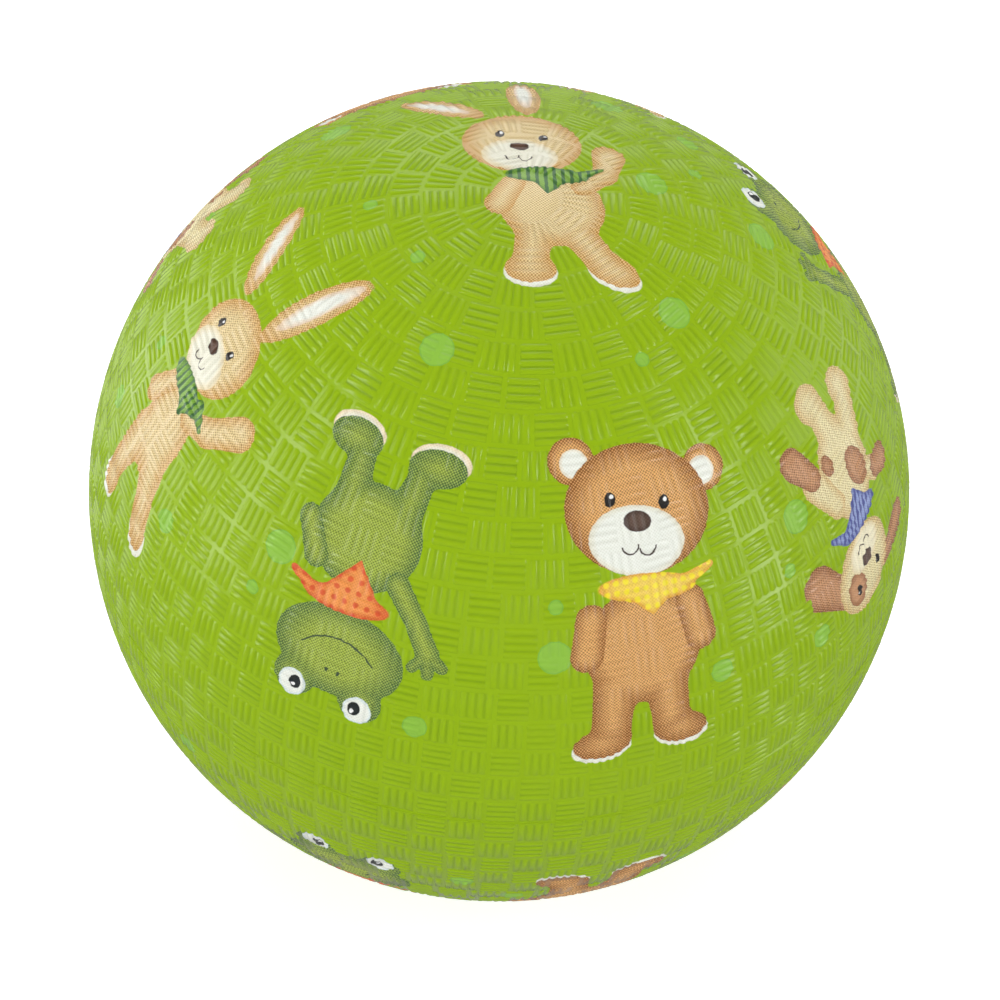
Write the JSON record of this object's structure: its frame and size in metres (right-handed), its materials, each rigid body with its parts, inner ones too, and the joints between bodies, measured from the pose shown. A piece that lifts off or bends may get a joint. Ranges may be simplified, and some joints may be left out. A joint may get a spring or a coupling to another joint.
{
  "type": "playground rubber ball",
  "caption": "Inflated rubber play ball with a basket-weave textured cover, printed animal and dot decoration and a flush needle valve.",
  "frame": {"origin": "centre of the ball", "axes": "+Z along the mould axis, through the pole of the weave, with the valve at the -Z pole; the equator, where the mould halves part, is the XY plane; -Y is the front of the print"},
  "size_m": [0.1804, 0.1804, 0.18],
  "materials": {
    "cover_rubber": "satin moulded rubber, lime green, printed",
    "bladder_rubber": "matt black butyl",
    "patch_rubber": "matt natural rubber",
    "valve_rubber": "satin moulded rubber, dark green",
    "plug_rubber": "matt black butyl"
  },
  "bodies": {
    "root": {"cover": "cover_rubber", "bladder": "bladder_rubber", "valve_patch": "patch_rubber", "valve_housing": "valve_rubber", "valve_plug": "plug_rubber"}
  },
  "joints": []
}
